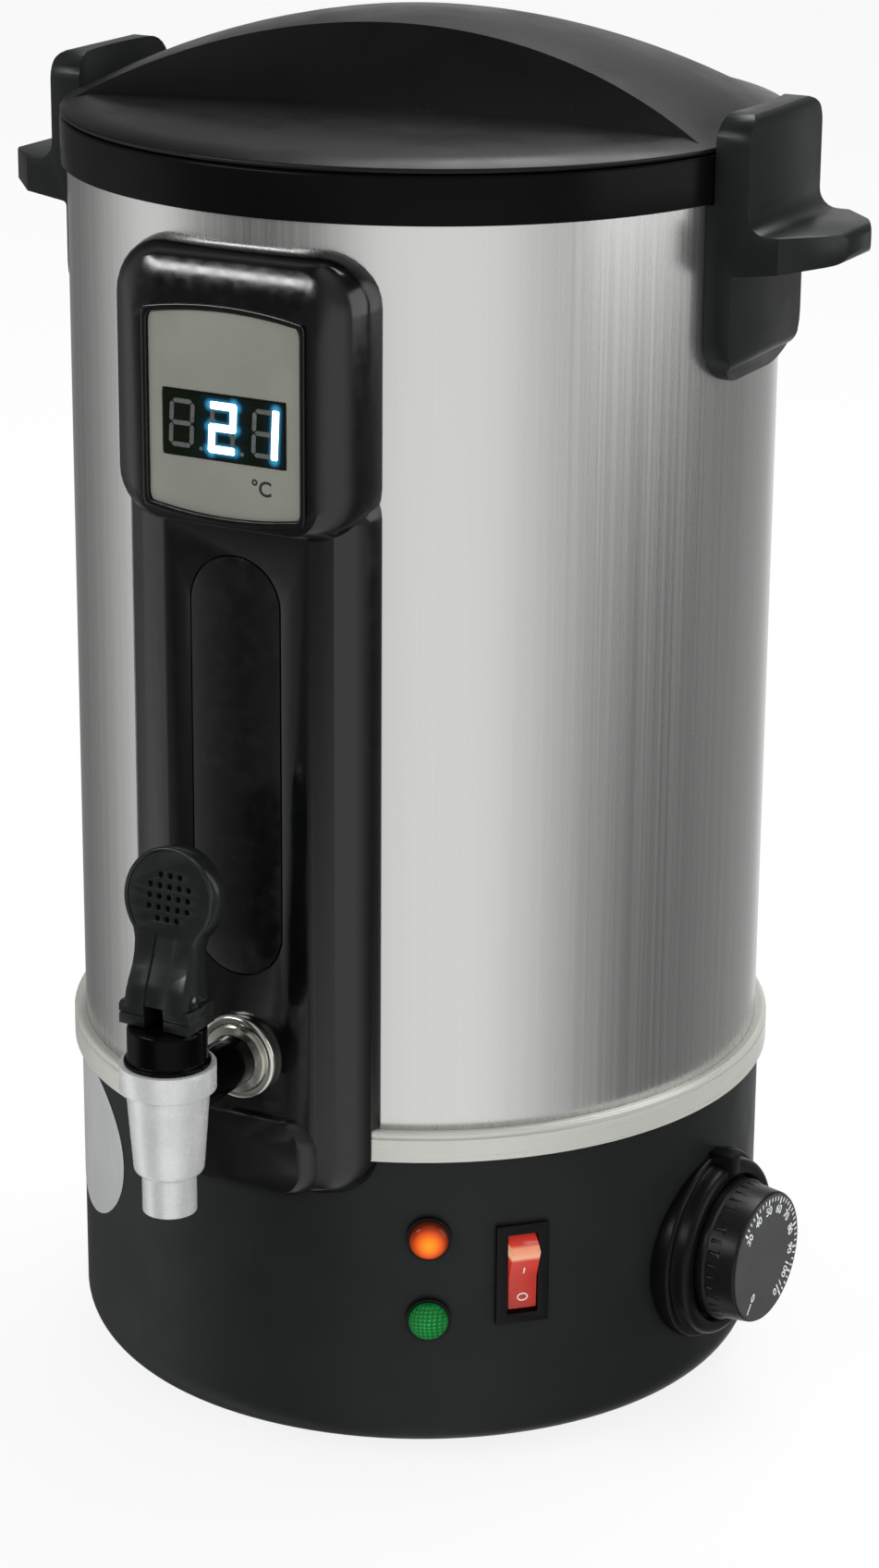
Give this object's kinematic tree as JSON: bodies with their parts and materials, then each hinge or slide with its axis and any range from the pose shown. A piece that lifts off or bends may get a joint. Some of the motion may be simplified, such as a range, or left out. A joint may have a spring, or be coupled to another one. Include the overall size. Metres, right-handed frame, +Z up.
{
  "type": "candle wax melter",
  "caption": "Electric wax melting pot with a lift-off lid, two side handles, a lever tap, a display fascia, a rocker switch, lamps and a temperature knob.",
  "frame": {"origin": "on the pot's vertical axis, in the plane of the foot ring that it stands on", "axes": "+Z up, -Y to the front where the display and tap are, +X towards the temperature knob and one handle"},
  "size_m": [0.276, 0.2791, 0.416],
  "materials": {
    "black_plastic": "satin moulded",
    "gloss_black": "gloss",
    "handle_plastic": "fine texture",
    "rubber": "matt",
    "brushed_steel": "brushed",
    "plain_steel": "satin",
    "silver_trim": "satin with a polished bead",
    "chrome": "polished",
    "cast_aluminium": "as cast",
    "heater_sheath": "oxidised",
    "copper": "drawn",
    "silicone": "matt",
    "white_plastic": "moulded",
    "dark_phenolic": "moulded",
    "grey_plate": "satin grey",
    "display_glass": "gloss",
    "circuit_board": "lacquered",
    "red_lens": "translucent red",
    "amber_lens": "translucent amber",
    "green_lens": "translucent green"
  },
  "bodies": {
    "urn": {"base_shell": "black_plastic", "rim_collar": "black_plastic", "tap_bonnet": "black_plastic", "tap_shank": "black_plastic", "knob_bezel": "black_plastic", "cord_gland": "black_plastic", "switch_housing": "black_plastic", "lamp_holders": "black_plastic", "fascia_cover": "gloss_black", "sight_panel": "gloss_black", "display_frame": "gloss_black", "handle_left": "handle_plastic", "handle_right": "handle_plastic", "foot_ring": "rubber", "outer_jacket": "brushed_steel", "inner_pot": "plain_steel", "base_plate": "plain_steel", "heater_bridge": "plain_steel", "tie_nut": "plain_steel", "tap_spacer": "plain_steel", "tap_nut": "plain_steel", "tap_spring": "plain_steel", "temperature_probe": "plain_steel", "fascia_screws": "plain_steel", "handle_screws": "plain_steel", "trim_ring": "silver_trim", "tap_bowl": "chrome", "tap_washer": "chrome", "heater_plate": "cast_aluminium", "heater_element": "heater_sheath", "thermostat_bulb": "copper", "tap_seal": "silicone", "terminal_block": "white_plastic", "thermostat_body": "white_plastic", "thermal_cutout": "dark_phenolic", "display_plate": "grey_plate", "display_window": "display_glass", "display_board": "circuit_board", "lamp_amber": "amber_lens", "lamp_green": "green_lens"},
    "plunger": {"tap_stem": "white_plastic", "tap_pin": "plain_steel", "tap_seat_cup": "silicone"},
    "tap_lever": {"tap_lever": "black_plastic"},
    "rocker": {"switch_rocker": "red_lens"},
    "knob": {"thermostat_shaft": "plain_steel", "thermostat_knob": "handle_plastic"},
    "lid": {"lid_shell": "black_plastic", "lid_liner": "plain_steel", "lid_gasket": "silicone", "lid_screws": "plain_steel"}
  },
  "joints": [
    {"name": "lid_lift", "type": "slide", "parent": "urn", "child": "lid", "axis": [0, 0, 1], "range_m": [0, 0.12]},
    {"name": "plunger_lift", "type": "slide", "parent": "urn", "child": "plunger", "axis": [0, 0, 1], "range_m": [0, 0.0045], "deforming": ["tap_spring"]},
    {"name": "lever_tilt", "type": "hinge", "parent": "plunger", "child": "tap_lever", "pos_m": [0, -0.149, 0.1603], "axis": [1, 0, 0], "range_deg": [0, 35], "stiffness_Nm_per_rad": 0.12, "springref_deg": -17.19},
    {"name": "rocker_tilt", "type": "hinge", "parent": "urn", "child": "rocker", "pos_m": [0.07234, -0.07234, 0.0615], "axis": [0.7071, 0.7071, 0], "range_deg": [-24, 0]},
    {"name": "knob_turn", "type": "hinge", "parent": "urn", "child": "knob", "pos_m": [0.10597, -0.00834, 0.0505], "axis": [0.9969, -0.0785, 0], "range_deg": [-130, 140]}
  ],
  "couplings": [
    {"joint": "plunger_lift", "follows": "lever_tilt", "m_per_rad": 0.007}
  ]
}
